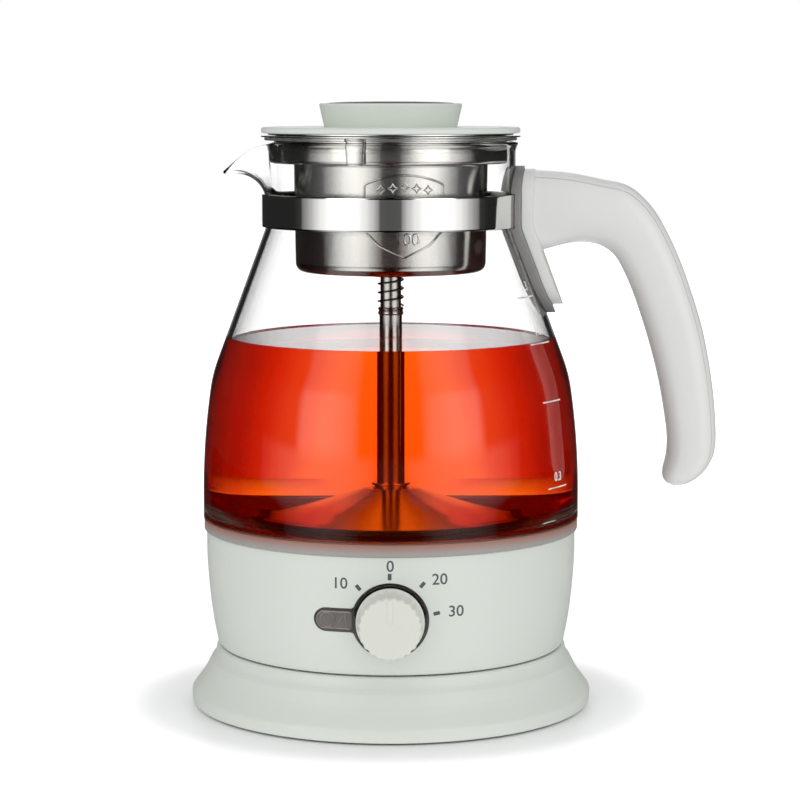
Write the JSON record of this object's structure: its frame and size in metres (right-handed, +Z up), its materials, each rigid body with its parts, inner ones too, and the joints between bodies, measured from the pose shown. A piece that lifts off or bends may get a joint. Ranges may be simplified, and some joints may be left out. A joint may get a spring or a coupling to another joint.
{
  "type": "automatic tea maker",
  "caption": "Steam tea maker: glass jug on a dial-controlled heater housing and cordless base, with a steel leaf basket, spring-loaded riser tube and lid.",
  "frame": {"origin": "on the jug's axis, at the surface that the foot ring stands on", "axes": "+Z up the jug's axis, +X towards the handle, -X towards the spout, -Y towards the dial"},
  "size_m": [0.2031, 0.1631, 0.233],
  "materials": {
    "sage_plastic": "satin moulded plastic, pale sage white",
    "handle_plastic": "satin moulded plastic, cool white",
    "knob_plastic": "satin moulded plastic, warm white",
    "inner_plastic": "black glass-filled plastic",
    "black_gloss": "gloss black plastic",
    "foot_rubber": "matt dark rubber",
    "grey_silicone": "warm grey silicone",
    "clear_silicone": "milky translucent silicone",
    "dark_silicone": "dark food-grade silicone",
    "smoke_lens": "smoky translucent polycarbonate",
    "brushed_steel": "brushed stainless steel",
    "bright_steel": "polished stainless steel",
    "screw_steel": "zinc-plated steel",
    "cast_aluminium": "rolled aluminium",
    "contact_brass": "bare brass",
    "borosilicate": "clear borosilicate glass",
    "circuit_board": "green solder mask",
    "wire_jacket": "silicone-jacketed wire",
    "led_epoxy": "diffuse red epoxy"
  },
  "bodies": {
    "base": {"base_shell": "sage_plastic", "base_plate": "inner_plastic", "foot_ring": "foot_rubber", "base_screws": "screw_steel", "base_connector": "inner_plastic", "base_contacts": "contact_brass", "cord_gland": "inner_plastic", "base_leads": "wire_jacket"},
    "jug": {"heater_housing": "sage_plastic", "housing_cover": "inner_plastic", "housing_screws": "screw_steel", "jug_connector": "inner_plastic", "jug_contacts": "contact_brass", "seal_ring": "grey_silicone", "heating_plate": "brushed_steel", "heat_spreader": "cast_aluminium", "heating_element": "cast_aluminium", "thermostat": "inner_plastic", "thermal_fuse": "bright_steel", "temperature_probe": "bright_steel", "element_leads": "wire_jacket", "dial_lens": "smoke_lens", "control_board": "circuit_board", "board_screws": "screw_steel", "rotary_switch": "inner_plastic", "indicator_led": "led_epoxy", "glass_jug": "borosilicate", "clamp_band": "bright_steel", "band_screw": "screw_steel", "band_nut": "screw_steel", "handle_gasket": "grey_silicone", "handle_bracket": "handle_plastic", "handle_screws": "screw_steel", "handle_grip": "handle_plastic", "handle_spine": "handle_plastic"},
    "knob": {"selector_knob": "knob_plastic", "switch_shaft": "inner_plastic"},
    "infuser": {"infuser_basket": "brushed_steel", "basket_seal": "clear_silicone", "guide_bush": "bright_steel", "bush_nut": "bright_steel"},
    "sieve": {"sieve_plate": "brushed_steel"},
    "riser": {"riser_tube": "brushed_steel", "spring_stop": "bright_steel", "riser_spring": "bright_steel", "siphon_cone": "brushed_steel", "cone_seal": "dark_silicone", "spray_cap": "bright_steel"},
    "lid": {"lid_disc": "sage_plastic", "lid_liner": "brushed_steel", "lid_seal": "clear_silicone", "lid_grip": "sage_plastic", "grip_cap": "black_gloss", "lid_screw": "screw_steel"}
  },
  "joints": [
    {"name": "jug_lift", "type": "slide", "parent": "base", "child": "jug", "axis": [0, 0, 1], "range_m": [0, 0.05]},
    {"name": "knob_turn", "type": "hinge", "parent": "jug", "child": "knob", "pos_m": [0, -0.078, 0.0447], "axis": [0, 1, 0], "range_deg": [-40, 80]},
    {"name": "infuser_lift", "type": "slide", "parent": "jug", "child": "infuser", "axis": [0, 0, 1], "range_m": [0, 0.16]},
    {"name": "sieve_lift", "type": "slide", "parent": "infuser", "child": "sieve", "axis": [0, 0, 1], "range_m": [0, 0.0085]},
    {"name": "riser_slide", "type": "slide", "parent": "infuser", "child": "riser", "axis": [0, 0, 1], "range_m": [0, 0.005], "stiffness_N_per_m": 150, "springref_m": -0.004, "deforming": ["riser_spring"]},
    {"name": "lid_lift", "type": "slide", "parent": "infuser", "child": "lid", "axis": [0, 0, 1], "range_m": [0, 0.04]}
  ]
}
